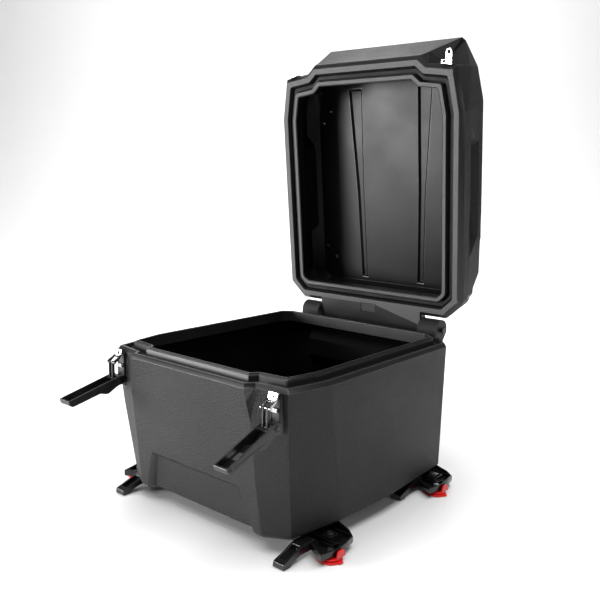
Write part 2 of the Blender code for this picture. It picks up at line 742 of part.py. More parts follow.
def hook(side, turn):
    """A bent plate with two side arms, which hangs on the link's upper pin."""
    name = f"latch_hook_{side}"
    bm = bmesh.new()
    plate = strip([(10.5, 7.2), HOOK_BEND, HOOK_TOP, HOOK_LIP], SHEET)
    add_prism(bm, plate, "x", -9.3, 9.3)
    made = place(name, mesh_from(bm, name), CHROMED_STEEL, turn, smooth=35)
    for label, x in (("arm_a", -9.3), ("arm_b", 7.5)):
        arm = [(2.0, -2.4), (12.0, 5.4), (15.4, 12.0), (13.6, 12.4), (10.6, 9.4), (-1.0, 3.2)]
        arm += arc((0.0, 0.0), 3.1, 120.0, 290.0, 6)
        bm = bmesh.new()
        add_prism(bm, arm, "x", x, x + 1.8)
        fuse(made, bm, label)
    bm = bmesh.new()
    add_cylinder(bm, (-12.0, 0.0, 0.0), "x", 24.0, BORE_R, 16)
    cut(made, bm, "bore")
    return made


def hook_rivet(side, turn):
    name = f"latch_rivet_{side}"
    bend, top = Vector((0.0, *HOOK_BEND)), Vector((0.0, *HOOK_TOP))
    along = (top - bend).normalized()
    out = Vector((0.0, -along.z, along.y))
    foot = bend.lerp(top, 0.5) + out * (SHEET / 2 + GAP)
    bm = bmesh.new()
    add_rod(bm, foot, foot + out * 1.6, 2.6, 16)
    return place(name, mesh_from(bm, name), CHROMED_STEEL, turn, smooth=40)


def latch(side, sign):
    droop = math.radians(LEVER_DROOP[side])
    x = sign * LATCH_X
    latch_base(side, sign)
    lever_turn = pivot(f"lever_pivot_{side}", (x, LEVER_PIN_Y, LEVER_PIN_Z), (droop, 0.0, 0.0))
    lever(side, sign, lever_turn)
    steel_pin(f"latch_tip_pin_{side}", lever_turn, -LEVER_LENGTH, 0.0, LEVER_HALF - 0.3)
    fixed = pivot(f"latch_mount_{side}", (x, LEVER_PIN_Y, LEVER_PIN_Z))
    steel_pin(f"latch_pivot_pin_{side}", fixed, 0.0, 0.0, LEVER_HALF + GAP + 0.4, 2.5, 4.2)
    along, across = LINK_OFFSET
    y = LEVER_PIN_Y - along * math.cos(droop) - across * math.sin(droop)
    z = LEVER_PIN_Z - along * math.sin(droop) + across * math.cos(droop)
    link(side, pivot(f"link_pivot_{side}", (x, y, z)))
    hook_turn = pivot(f"hook_pivot_{side}", (x, y, z + LINK_LENGTH))
    hook(side, hook_turn)
    steel_pin(f"latch_hook_pin_{side}", hook_turn, 0.0, 0.0, 10.0, PIN_R, 2.6)
    hook_rivet(side, hook_turn)


def keeper(side, sign):
    """The lid's side of a latch: a plate on the corner facet, a staple for the hook, a padlock eye."""
    name = f"latch_keeper_{side}"
    left, right = LATCH_X - 10.8, LATCH_X + 10.8
    back_left = -HINGE_Y + 8.3 * (left - NOTCH_FLOOR_X) / (CORNER_X - NOTCH_FLOOR_X) - 1.1
    back_right = -HINGE_Y + 8.3 * (right - NOTCH_FLOOR_X) / (CORNER_X - NOTCH_FLOOR_X) - 1.1
    front = -HINGE_Y + 1.2
    outline = [(left, front), (right, front), (right, back_right), (left, back_left)]
    bm = bmesh.new()
    add_prism(bm, [(sign * x, y) for x, y in outline], "z", -5.4, 13.0)
    made = place(name, mesh_from(bm, name), CHROMED_STEEL, LID_PIVOT)
    bm = bmesh.new()
    tab = [(-7.5, front + 0.8), (5.0, front + 0.8), (5.0, front - 20.0), (2.0, front - 25.0)]
    tab += [(-4.5, front - 25.0), (-7.5, front - 20.0)]
    add_prism(bm, [(sign * (LATCH_X + x), y) for x, y in tab], "z", 6.0, 8.0)
    fuse(made, bm, "eye")
    bm = bmesh.new()
    add_cylinder(bm, (sign * (LATCH_X - 1.2), front - 19.0, 2.0), "z", 10.0, 4.0, 16)
    cut(made, bm, "eye_hole")
    name = f"latch_staple_{side}"
    bar_y, bar_w = -HINGE_Y - 3.6, -4.0
    bm = bmesh.new()
    add_cylinder(bm, (sign * LATCH_X - 10.6, bar_y, bar_w), "x", 21.2, 1.4, 12)
    staple = place(name, mesh_from(bm, name), CHROMED_STEEL, LID_PIVOT, smooth=40)
    for label, x in (("arm_a", -10.6), ("arm_b", 9.2)):
        bm = bmesh.new()
        add_box(bm, (sign * LATCH_X + x, bar_y, bar_w - 1.3), (sign * LATCH_X + x + 1.4, front - GAP, bar_w + 1.3))
        fuse(staple, bm, label)


# ---------------------------------------------------------------- feet


PLATFORM = [(196.0, 76.0), (249.0, 47.0), (257.0, 84.0), (254.0, 110.0), (250.0, 132.0), (232.0, 147.0)]
PLATFORM += [(200.0, 161.0), (160.0, 161.0), (160.0, 76.0)]


def foot(name, sign, shift):
    """A quick-lock foot: a tray that is screwed up under the tub, with a toe reaching forward."""
    tray = [(x, y) for x, y in PLATFORM]
    rings = [lifted(inset(tray, 3.0), FOOT_BASE_Z), lifted(tray, FOOT_BASE_Z + 3.0), lifted(tray, -261.0)]
    rings += [lifted(inset(tray, 1.0), -260.0), lifted(inset(tray, 3.0), -260.0)]
    rings += [lifted(inset(tray, 3.6), -269.0)]
    bm = bmesh.new()
    add_loft(bm, [[(sign * x, y + shift, z) for x, y, z in ring] for ring in rings])
    made = place(name, mesh_from(bm, name), GLOSS_NYLON, smooth=30)
    blocks = [("pad", (152.0, 70.0, FOOT_BASE_Z + 2.0), (193.0, 168.0, FOOT_TOP_Z))]
    blocks += [("boss", (203.5, 105.0, -271.0), (224.5, 127.0, -262.0))]
    blocks += [("rib_a", (196.0, 136.0, -271.0), (240.0, 139.0, -261.5))]
    blocks += [("rib_b", (192.0, 96.0, -271.0), (254.0, 99.0, -261.5))]
    for label, low, high in blocks:
        low, high = mirrored_low(low, high, sign), mirrored_high(low, high, sign)
        bm = bmesh.new()
        add_box(bm, (low[0], low[1] + shift, low[2]), (high[0], high[1] + shift, high[2]), 1.2)
        fuse(made, bm, label)
    toe = [(78.0, FOOT_TOP_Z - 1.0), (46.0, FOOT_TOP_Z - 1.0), (34.0, -262.0), (1.0, -272.0), (0.0, -280.0)]
    toe += [(2.0, -FLOOR_DROP), (17.0, -FLOOR_DROP), (22.0, -276.0), (42.0, -271.0), (78.0, -272.5)]
    bm = bmesh.new()
    low, high = sorted((sign * 190.0, sign * 213.0))
    add_prism(bm, [(y + shift, z) for y, z in toe], "x", low, high)
    fuse(made, bm, "toe")
    bm = bmesh.new()
    low, high = sorted((sign * 194.0, sign * 209.0))
    slot = [(10.0, -268.5), (44.0, -256.0), (44.0, -266.0), (14.0, -274.0)]
    add_prism(bm, [(y + shift, z) for y, z in slot], "x", low, high)
    cut(made, bm, "toe_slot")
    bm = bmesh.new()
    add_cylinder(bm, (sign * LOCK_X, LOCK_Y + shift, -280.0), "z", 20.0, 5.0 + GAP, 20)
    cut(made, bm, "spindle_bore")
    return made


def lock(where, sign, shift):
    """The red quarter-turn lock: a finned knob under the tray on a spindle that passes through it."""
    turn = pivot(f"lock_pivot_{where}", (sign * LOCK_X, LOCK_Y + shift, FOOT_BASE_Z))
    name = f"lock_knob_{where}"
    rows = [(17.0, -GAP), (18.0, -1.2), (17.5, -2.4), (14.0, -3.0), (14.0, -3.8), (19.5, -4.4)]
    rows += [(LOCK_R, -5.2), (LOCK_R, -7.2), (18.5, -8.0)]
    bm = bmesh.new()
    add_turned(bm, rows, 24)
    knob = place(name, mesh_from(bm, name), LOCK_RED, turn, smooth=40)
    bm = bmesh.new()
    add_box(bm, (-23.5, -4.5, -6.8), (23.5, 4.5, -4.8), 0.8)
    fuse(knob, bm, "wings")
    name = f"lock_spindle_{where}"
    bm = bmesh.new()
    add_cylinder(bm, (0.0, 0.0, GAP), "z", 11.0, 5.0, 20)
    place(name, mesh_from(bm, name), PLATED_STEEL, turn, smooth=40)


def foot_screw(where, sign, shift):
    name = f"foot_screw_{where}"
    bm = bmesh.new()
    add_cylinder(bm, (sign * 214.0, 116.0 + shift, -262.0 + GAP), "z", 3.0, 6.0, 20, 5.0)
    made = place(name, mesh_from(bm, name), PLATED_STEEL, smooth=40)
    bm = bmesh.new()
    add_cylinder(bm, (sign * 214.0, 116.0 + shift, -260.4), "z", 3.0, 2.6, 6)
    return cut(made, bm, "socket")


# ---------------------------------------------------------------- main


SIDES = (("right", 1), ("left", -1))

clear_scene()
PARTS = new_collection("cargo_box")
CUTTERS = new_collection("cutters", hidden=True)
BODY_PLASTIC = material("body_plastic", (0.035, 0.036, 0.038), 0.62)
MOULDED_NYLON = material("moulded_nylon", (0.022, 0.022, 0.024), 0.45)
GLOSS_NYLON = material("gloss_nylon", (0.02, 0.02, 0.021), 0.25)
SEAL_RUBBER = material("seal_rubber", (0.02, 0.02, 0.02), 0.8)
CHROMED_STEEL = material("chromed_steel", (0.78, 0.78, 0.77), 0.18, 1.0)
PLATED_STEEL = material("plated_steel", (0.45, 0.45, 0.46), 0.35, 1.0)
LOCK_RED = material("lock_red", (0.62, 0.02, 0.02), 0.35)
LID_PIVOT = pivot("lid_pivot", (0.0, HINGE_Y, HINGE_Z), (math.radians(-OPEN_ANGLE), 0.0, 0.0))

tub()
lid()
gasket()
blank_plate()
lid_studs()
hinge_rod()
for side, sign in SIDES:
    latch(side, sign)
    keeper(side, sign)
    for end, shift in (("front", 0.0), ("rear", FOOT_PITCH)):
        foot(f"foot_{end}_{side}", sign, shift)
        foot_screw(f"{end}_{side}", sign, shift)
        lock(f"{end}_{side}", sign, shift)
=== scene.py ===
"""Looks of the hard cargo box: studio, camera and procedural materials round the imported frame."""

import json
import math

import bmesh
import bpy
from mathutils import Matrix, Vector


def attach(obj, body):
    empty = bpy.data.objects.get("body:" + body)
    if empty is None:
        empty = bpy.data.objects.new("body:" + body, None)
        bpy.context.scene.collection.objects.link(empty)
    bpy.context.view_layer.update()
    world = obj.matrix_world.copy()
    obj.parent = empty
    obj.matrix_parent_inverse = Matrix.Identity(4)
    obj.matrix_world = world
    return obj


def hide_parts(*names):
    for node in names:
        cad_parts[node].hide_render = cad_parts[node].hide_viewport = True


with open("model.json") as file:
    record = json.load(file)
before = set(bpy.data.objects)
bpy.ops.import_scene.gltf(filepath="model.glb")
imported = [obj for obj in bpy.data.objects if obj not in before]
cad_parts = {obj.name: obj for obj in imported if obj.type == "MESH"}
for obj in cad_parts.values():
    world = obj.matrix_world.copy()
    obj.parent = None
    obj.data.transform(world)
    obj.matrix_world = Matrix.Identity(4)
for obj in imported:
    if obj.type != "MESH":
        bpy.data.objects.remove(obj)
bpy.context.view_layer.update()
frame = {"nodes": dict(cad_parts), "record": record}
NODES = frame["nodes"]
SLOT_OF = {item["node"]: item["material_slot"] for item in frame["record"]["subparts"]}
BODIES = frame["record"]["behaviour"]["bodies"]
BODY_OF = {node: body for body, nodes in BODIES.items() for node in nodes}

# ---------------------------------------------------------------- node helpers

CLOUD_LOW, CLOUD_HIGH = 0.3, 0.7  # the part of a noise's range that most of it falls in
NOISE_ROUGHNESS = 0.55


class Graph:
    """A short way to write a material's nodes."""

    def __init__(self, name):
        self.material = bpy.data.materials.new(name)
        self.material.use_nodes = True
        self.tree = self.material.node_tree
        self.shader = self.tree.nodes["Principled BSDF"]

    def add(self, kind, inputs=None, **settings):
        node = self.tree.nodes.new(kind)
        for key, value in settings.items():
            setattr(node, key, value)
        for key, value in (inputs or {}).items():
            self.feed(node.inputs[key], value)
        return node

    def feed(self, socket, value):
        if isinstance(value, bpy.types.NodeSocket):
            self.tree.links.new(value, socket)
        else:
            socket.default_value = value

    def set(self, **inputs):
        for key, value in inputs.items():
            self.feed(self.shader.inputs[key.replace("_", " ")], value)

    def math(self, operation, a, b):
        node = self.add("ShaderNodeMath", operation=operation)
        self.feed(node.inputs[0], a)
        self.feed(node.inputs[1], b)
        return node.outputs[0]

    def ramp(self, value, low, high, start=0.0, stop=1.0):
        node = self.add("ShaderNodeMapRange", clamp=True)
        for index, item in enumerate((value, low, high, start, stop)):
            self.feed(node.inputs[index], item)
        return node.outputs[0]

    def clouded(self, cloud, start, stop):
        """A value that goes from start to stop with the clouds."""
        return self.ramp(cloud, CLOUD_LOW, CLOUD_HIGH, start, stop)

    def mix(self, factor, one, two):
        node = self.add("ShaderNodeMix", data_type="RGBA")
        self.feed(node.inputs[0], factor)
        self.feed(node.inputs[6], one)
        self.feed(node.inputs[7], two)
        return node.outputs[2]

    def place(self):
        return self.add("ShaderNodeTexCoord").outputs["Object"]

    def noise(self, scale, detail):
        inputs = {"Vector": self.place(), "Scale": scale, "Detail": detail}
        inputs["Roughness"] = NOISE_ROUGHNESS
        return self.add("ShaderNodeTexNoise", inputs).outputs["Fac"]

    def cells(self, scale):
        inputs = {"Vector": self.place(), "Scale": scale}
        return self.add("ShaderNodeTexVoronoi", inputs).outputs["Distance"]

    def bump(self, height, strength, distance):
        inputs = {"Height": height, "Strength": strength, "Distance": distance}
        return self.add("ShaderNodeBump", inputs).outputs["Normal"]


def grey(value):
    return (value, value, value, 1.0)


# ---------------------------------------------------------------- materials


def pebbled_material(name, low, high):
    """The outside of a rotational moulding: pebbled, with faint clouds of tone."""
    g = Graph(name)
    cloud = g.noise(scale=7.0, detail=4.0)
    grain = g.noise(scale=900.0, detail=2.0)
    pebble = g.cells(scale=420.0)
    tone = g.mix(cloud, grey(low), grey(high))
    tone = g.mix(g.math("MULTIPLY", grain, 0.4), tone, grey(high * 2.2))
    height = g.math("ADD", pebble, g.math("MULTIPLY", grain, 0.8))
    g.set(Base_Color=tone, Roughness=g.clouded(cloud, 0.44, 0.54), Specular_IOR_Level=0.3)
    g.set(Normal=g.bump(height, strength=0.9, distance=0.0009))
    return g.material


def smooth_material(name, low, high, rough, specular=0.5):
    """The rim and the inside: smoother, with the slight waviness of a cooled skin."""
    g = Graph(name)
    cloud = g.noise(scale=9.0, detail=4.0)
    peel = g.noise(scale=90.0, detail=3.0)
    grain = g.noise(scale=1300.0, detail=2.0)
    height = g.math("ADD", peel, g.math("MULTIPLY", grain, 0.12))
    g.set(Base_Color=g.mix(cloud, grey(low), grey(high)), Specular_IOR_Level=specular)
    g.set(Roughness=g.clouded(cloud, rough - 0.04, rough + 0.05))
    g.set(Normal=g.bump(height, strength=0.12, distance=0.0006))
    return g.material


def nylon_material(name, low, high, rough, grain_depth):
    g = Graph(name)
    cloud = g.noise(scale=40.0, detail=4.0)
    grain = g.noise(scale=1800.0, detail=2.0)
    g.set(Base_Color=g.mix(cloud, grey(low), grey(high)))
    g.set(Roughness=g.clouded(cloud, rough - 0.05, rough + 0.06))
    g.set(Normal=g.bump(grain, strength=grain_depth, distance=0.0003))
    return g.material


def steel_material(name, colour, rough):
    """Brushed along x, with clouds of a slightly darker tone."""
    g = Graph(name)
    cloud = g.noise(scale=60.0, detail=4.0)
    stretch = g.add("ShaderNodeMapping", {"Vector": g.place(), "Scale": (60.0, 2200.0, 2200.0)})
    lines = g.add("ShaderNodeTexNoise", {"Vector": stretch.outputs[0], "Scale": 1.0, "Detail": 2.0})
    darker = tuple(c * 0.82 for c in colour[:3]) + (1.0,)
    g.set(Base_Color=g.mix(cloud, colour, darker), Metallic=1.0)
    g.set(Roughness=g.ramp(cloud, CLOUD_LOW, 0.75, rough, rough + 0.12))
    g.set(Normal=g.bump(lines.outputs["Fac"], strength=0.1, distance=0.0002))
    return g.material


def rubber_material(name):
    g = Graph(name)
    pores = g.cells(scale=1400.0)
    cloud = g.noise(scale=30.0, detail=3.0)
    g.set(Base_Color=g.mix(cloud, grey(0.008), grey(0.014)), Roughness=g.clouded(cloud, 0.7, 0.85))
    g.set(Normal=g.bump(pores, strength=0.5, distance=0.0004))
    return g.material


def speckled_material(name):
    """A cast blank with a coarse pitted face."""
    g = Graph(name)
    pits = g.cells(scale=900.0)
    cloud = g.noise(scale=500.0, detail=3.0)
    speckle = g.ramp(cloud, 0.45, 0.62)
    g.set(Base_Color=g.mix(speckle, grey(0.004), grey(0.035)), Roughness=g.clouded(cloud, 0.3, 0.5))
    g.set(Normal=g.bump(pits, strength=0.9, distance=0.0006))
    return g.material


def red_material(name):
    g = Graph(name)
    cloud = g.noise(scale=90.0, detail=4.0)
    grain = g.noise(scale=1500.0, detail=2.0)
    tone = g.mix(cloud, (0.62, 0.008, 0.010, 1.0), (0.80, 0.016, 0.016, 1.0))
    g.set(Base_Color=tone, Roughness=g.clouded(cloud, 0.3, 0.42), Coat_Weight=0.2)
    g.set(Normal=g.bump(grain, strength=0.12, distance=0.0003))
    return g.material


# An edge finish is the same moulding made lighter, a painted highlight where rounded edges would catch the
# light.
OUTSIDE = pebbled_material("pebbled_polyethylene", 0.007, 0.011)
OUTSIDE_HIGHLIGHT = pebbled_material("pebbled_painted_highlight", 0.040, 0.085)
# The lid's mating face is the outside moulding made far lighter: painted light, as if the face were lit.
LIT_FACE = pebbled_material("mating_face_painted_light", 0.055, 0.085)
RIM = smooth_material("rim_polyethylene", 0.009, 0.014, rough=0.34)
RIM_HIGHLIGHT = smooth_material("rim_painted_highlight", 0.060, 0.130, rough=0.26)
# The inside has the rim's smooth skin; its darker colour is painted shade inside the tub and the lid, and
# under the rim.
INSIDE = smooth_material("inside_polyethylene", 0.003, 0.005, rough=0.33, specular=0.16)
INSIDE_HIGHLIGHT = smooth_material("inside_painted_highlight", 0.020, 0.050, rough=0.22)
NYLON = nylon_material("black_nylon", 0.007, 0.011, rough=0.36, grain_depth=0.25)
NYLON_HIGHLIGHT = nylon_material("nylon_painted_highlight", 0.025, 0.055, rough=0.28, grain_depth=0.15)
GLOSS = nylon_material("gloss_nylon", 0.005, 0.009, rough=0.16, grain_depth=0.06)
GLOSS_HIGHLIGHT = nylon_material("gloss_painted_highlight", 0.016, 0.034, rough=0.14, grain_depth=0.05)
RUBBER = rubber_material("black_rubber")
CHROME = steel_material("chrome", (0.46, 0.46, 0.45, 1.0), rough=0.12)
DARK_STEEL = steel_material("dark_steel", (0.07, 0.07, 0.075, 1.0), rough=0.3)
ZINC = steel_material("zinc_plate", (0.52, 0.52, 0.53, 1.0), rough=0.28)
RED = red_material("red_nylon")
SPECKLED = speckled_material("speckled_blank")
HIGHLIGHT_OF = {NYLON: NYLON_HIGHLIGHT, GLOSS: GLOSS_HIGHLIGHT}
BY_SLOT = {
    "moulded_nylon": NYLON,
    "gloss_nylon": GLOSS,
    "seal_rubber": RUBBER,
    "chromed_steel": CHROME,
    "plated_steel": ZINC,
    "lock_red": RED,
}
LATCH_PINS = ("latch_pivot_pin", "latch_tip_pin")
BY_NODE = {"lid_blank_plate": SPECKLED}
BY_NODE.update({node: GLOSS for node in NODES if node.startswith("lid_stud")})
BY_NODE.update({node: DARK_STEEL for node in NODES if node.startswith(LATCH_PINS)})

# ---------------------------------------------------------------- frames of reference, millimetres
# The layout frame's origin is level with the rim's widest line. The lid's and the levers' frames
# sit on their own axes, turned as they are at rest.

MM = 0.001
Y_MIDDLE, FLOOR_DROP = 248.846, 282.0
OPEN_ANGLE = 84.0
HINGE_Y, HINGE_Z = 527.7, 15.5
LEVER_PIN = (-8.2, -49.5)
LATCH_X, LEVER_HALF, LEVER_LENGTH = 190.0, 14.0, 106.0
DROOP = {"right": 19.5, "left": 10.5}
SIDES = (("right", 1), ("left", -1))
ENDS = (("front", 0.0), ("rear", 337.0))
LAYOUT = Matrix.Diagonal((MM, MM, MM, 1.0)) @ Matrix.Translation((0.0, -Y_MIDDLE, FLOOR_DROP))
OPENED = Matrix.Rotation(math.radians(-OPEN_ANGLE), 4, "X")
LID = LAYOUT @ Matrix.Translation((0.0, HINGE_Y, HINGE_Z)) @ OPENED


def lever_frame(side, sign):
    turn = Matrix.Rotation(math.radians(DROOP[side]), 4, "X")
    return LAYOUT @ Matrix.Translation((sign * LATCH_X, *LEVER_PIN)) @ turn


# ---------------------------------------------------------------- refined CAD nodes

MERGE_DISTANCE, FLAT_ANGLE = 0.00002, 0.7  # metres, degrees
EDGE_ROOM = 2.2  # the least length of a rounded edge and of those it meets, in widths
# Edges rounded at more than this angle, with faces that bend outward, take the lighter finish: a painted
# highlight.
HIGHLIGHT_ANGLE, HIGHLIGHT_BEND = 20.0, 0.05  # degrees; radians, summed round a face


def round_edges(bm, width, segments, angle, keep=None):
    """Rounds each edge sharper than the angle that has room for the width at both its ends. The
    faces round a crisp outer edge take the second material, which is the same finish made lighter as a
    painted highlight."""
    edges = []
    for edge in bm.edges:
        if len(edge.link_faces) != 2 or edge.calc_face_angle(0.0) < math.radians(angle):
            continue
        if keep and not keep(edge):
            continue
        if min(near.calc_length() for vert in edge.verts for near in vert.link_edges) > width * EDGE_ROOM:
            edges.append(edge)
    if not edges:
        return
    made = bmesh.ops.bevel(
        bm, geom=edges, offset=width, segments=segments, profile=0.5, affect="EDGES",
        clamp_overlap=True, loop_slide=True,
    )
    bm.normal_update()
    # The faces round a crisp outer edge take the lighter finish, a painted highlight.
    for face in made["faces"]:
        bend = sum(edge.calc_face_angle_signed(0.0) for edge in face.edges)
        if angle > HIGHLIGHT_ANGLE and bend > HIGHLIGHT_BEND:
            face.material_index = 1


def finished(name, bm, materials, body, replaces=(), sharp=40.0):
    """The piece's object: smooth where it is rounded, flat where it is flat."""
    data = bpy.data.meshes.new(name)
    for item in materials:
        data.materials.append(item)
    bm.to_mesh(data)
    bm.free()
    data.shade_smooth()
    data.set_sharp_from_angle(angle=math.radians(sharp))
    obj = bpy.data.objects.new(name, data)
    bpy.context.scene.collection.objects.link(obj)
    weighted = obj.modifiers.new("normals", "WEIGHTED_NORMAL")
    weighted.keep_sharp = True
    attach(obj, body)
    if replaces:
        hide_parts(*replaces)


def copied(node):
    """The CAD node's mesh with its flat faces whole again."""
    bm = bmesh.new()
    bm.from_mesh(NODES[node].data)
    bmesh.ops.remove_doubles(bm, verts=bm.verts, dist=MERGE_DISTANCE)
    bmesh.ops.dissolve_limit(bm, angle_limit=math.radians(FLAT_ANGLE), verts=bm.verts, edges=bm.edges)
    for face in bm.faces:
        face.material_index = 0
    return bm


def refined(node, steps):
    """A CAD node with its edges rounded in steps of (width in millimetres, segments, angle)."""
    bm = copied(node)
    for width, segments, angle in steps:
        round_edges(bm, width * MM, segments, angle)
    slot = SLOT_OF[node]
    finish = BY_NODE.get(node, BY_SLOT[slot])
    finishes = [finish, HIGHLIGHT_OF.get(finish, finish)]
    finished(f"fine_{node}", bm, finishes, BODY_OF[node], [node])


# ---------------------------------------------------------------- the two shells, millimetres

# A shell's materials go in pairs, plain and with a painted edge highlight: outside, rim, inside and the lid's
# mating face.
ZONE_OUTSIDE, ZONE_RIM, ZONE_INSIDE, ZONE_FACE = range(4)
ZONE_FINISHES = [OUTSIDE, OUTSIDE_HIGHLIGHT, RIM, RIM_HIGHLIGHT, INSIDE, INSIDE_HIGHLIGHT, LIT_FACE, RIM_HIGHLIGHT]
# Least or most values of a unit normal's part away from the middle, and of its upward part.
FACING_IN, FLOOR_UP, RIM_DOWN, FACE_DOWN, CEILING_DOWN = -0.2, 0.4, -0.3, -0.9, -0.4
CRISP_STEPS = [(0.7, 2, 28.0, None), (0.3, 2, 35.0, None)]
SHELL_SHARP = 35.0

TUB_MIDDLE, TUB_RIM_Z, TUB_LOW_Z = (0.0, 243.0), -1.0, -20.0
TUB_SOFT_Y, TUB_BEHIND_Y = 500.0, 502.0
TUB_FLOOR_Z, TUB_FLOOR_TOP_Z = -252.0, -236.0
RIM_UNDERSIDE_Z = -40.0
LEDGE_HALF, LEDGE_Y, LEDGE_BACK_Y, LEDGE_FOOT_Z = 136.0, 459.0, 497.0, -120.0

LID_MIDDLE, LID_RIM_Z, LID_HIGH_Z = (0.0, -280.0), 1.0, 20.0
FLAP_HALF, FLAP_Y, FLAP_TOP_Z = 131.0, -38.0, 20.0
LID_INSIDE_HALF, LID_INSIDE_TOP_Z = 216.0, 95.0
CEILING_Z, CEILING_TOP_Z = 84.0, 95.5


def passes(edge, to_own, test):
    """True where both ends of the edge pass the test in the shell's own frame, or there is no test."""
    return test is None or all(test(to_own @ vert.co) for vert in edge.verts)


def shell(node, to_own, middle, zone_of, steps):
    """The tub or the lid: wide soft edges outside, crisp ones at the rim, and a finish per zone. The
    steps are (width, segments, angle, test of the points that may be rounded)."""
    bm = copied(node)
    for width, segments, angle, test in steps:
        round_edges(bm, width * MM, segments, angle, lambda edge: passes(edge, to_own, test))
    for face in bm.faces:
        centre = to_own @ face.calc_center_median()
        normal = (to_own.to_3x3() @ face.normal).normalized()
        inward = (centre.xy - Vector(middle)).normalized().dot(normal.xy) < FACING_IN
        face.material_index += 2 * zone_of(centre, normal, inward)
    finished(f"fine_{node}", bm, ZONE_FINISHES, BODY_OF[node], [node], SHELL_SHARP)


# The inside finish, darker as painted shade, goes on faces that face in, the tub's floor and ledge, and those
# under the rim.
def tub_zone(centre, normal, inward):
    if centre.y > TUB_BEHIND_Y:
        return ZONE_OUTSIDE
    if centre.z > TUB_RIM_Z:
        return ZONE_RIM
    on_floor = normal.z > FLOOR_UP and TUB_FLOOR_Z < centre.z < TUB_FLOOR_TOP_Z
    under_rim = normal.z < RIM_DOWN and centre.z > RIM_UNDERSIDE_Z
    in_ledge = abs(centre.x) < LEDGE_HALF and LEDGE_Y < centre.y < LEDGE_BACK_Y
    on_ledge = in_ledge and centre.z > LEDGE_FOOT_Z
    return ZONE_INSIDE if inward or on_floor or under_rim or on_ledge else ZONE_OUTSIDE


def lid_zone(centre, normal, inward):
    if abs(centre.x) < FLAP_HALF and centre.y > FLAP_Y and centre.z < FLAP_TOP_Z:
        return ZONE_RIM
    if centre.z < LID_RIM_Z:
        return ZONE_FACE if normal.z < FACE_DOWN else ZONE_RIM
    on_wall = inward and centre.z < LID_INSIDE_TOP_Z and abs(centre.x) < LID_INSIDE_HALF
    on_ceiling = CEILING_Z < centre.z < CEILING_TOP_Z and normal.z < CEILING_DOWN
    return ZONE_INSIDE if on_wall or on_ceiling else ZONE_OUTSIDE


TUB_STEPS = [
    (5.0, 3, 9.0, lambda p: p.z < TUB_RIM_Z and p.y < TUB_SOFT_Y),
    (2.0, 3, 30.0, lambda p: p.z < TUB_LOW_Z),
    *CRISP_STEPS,
]
LID_STEPS = [
    (4.0, 3, 9.0, lambda p: p.z > LID_RIM_Z),
    (2.0, 3, 30.0, lambda p: p.z > LID_HIGH_Z),
    *CRISP_STEPS,
]
shell("tub", LAYOUT.inverted(), TUB_MIDDLE, tub_zone, TUB_STEPS)
shell("lid_shell", LID.inverted(), LID_MIDDLE, lid_zone, LID_STEPS)

BOLD_STEPS = [(0.8, 3, 28.0), (0.35, 2, 34.0)]
FINE_STEPS = [(0.3, 2, 34.0), (0.15, 2, 40.0)]
BOLD_NODES = ("latch_base", "latch_lever", "foot", "lock_knob")
for node in NODES:
    if node in ("tub", "lid_shell"):
        continue
    bold = node.startswith(BOLD_NODES) and "screw" not in node
    refined(node, BOLD_STEPS if bold else FINE_STEPS)

# ---------------------------------------------------------------- shapes for added detail, millimetres


def bevelled(bm, edges, width):
    bmesh.ops.bevel(bm, geom=list(edges), offset=width, segments=2, profile=0.5, affect="EDGES")


def box(bm, low, high, bevel):
    middle = [(a + b) / 2 for a, b in zip(low, high)]
    size = [abs(b - a) for a, b in zip(low, high)]
    place = Matrix.Translation(middle) @ Matrix.Diagonal((*size, 1.0))
    made = bmesh.ops.create_cube(bm, size=1.0, matrix=place)
    bevelled(bm, {edge for vert in made["verts"] for edge in vert.link_edges}, bevel)


def plate(bm, outline, lay, low, high, bevel):
    """A flat outline with its depth from low to high, laid out by lay(a, b, depth), edges rounded."""
    bottom = [bm.verts.new(lay(a, b, low)) for a, b in outline]
    top = [bm.verts.new(lay(a, b, high)) for a, b in outline]
    faces = [bm.faces.new(bottom), bm.faces.new(top)]
    for i in range(len(outline)):
        j = (i + 1) % len(outline)
        faces.append(bm.faces.new((bottom[i], bottom[j], top[j], top[i])))
    bmesh.ops.recalc_face_normals(bm, faces=faces)
    bevelled(bm, {edge for face in faces for edge in face.edges}, bevel)


def bar(bm, start, end, width, low, high):
    """An upright rib between two points of a plan."""
    start, end = Vector(start), Vector(end)
    run = end - start
    side = Vector((-run.y, run.x)).normalized() * width / 2
    plan = [start + side, start - side, end - side, end + side]
    plate(bm, [(p.x, p.y) for p in plan], lambda x, y, z: (x, y, z), low, high, bevel=0.4)


def ring(bm, centre, outer, inner, low, high, sides):
    """A raised ring about the x axis, with its crest rounded."""
    y, z = centre
    chamfer, shoulder = 0.4, high - 0.2 * (high - low)
    rows = [(outer, low), (outer, shoulder), (outer - chamfer, high)]
    rows += [(inner + chamfer, high), (inner, shoulder), (inner, low)]
    turns = [2 * math.pi * i / sides for i in range(sides)]
    loops = []
    for radius, x in rows:
        loops.append([bm.verts.new((x, y + radius * math.cos(t), z + radius * math.sin(t))) for t in turns])
    faces = []
    for i, loop in enumerate(loops):
        after = loops[(i + 1) % len(loops)]
        for k in range(sides):
            m = (k + 1) % sides
            faces.append(bm.faces.new((loop[k], loop[m], after[m], after[k])))
    bmesh.ops.recalc_face_normals(bm, faces=faces)


def added(name, bm, place, finish, body):
    bmesh.ops.transform(bm, matrix=place, verts=bm.verts)
    finished(name, bm, [finish], body)


# ---------------------------------------------------------------- latches

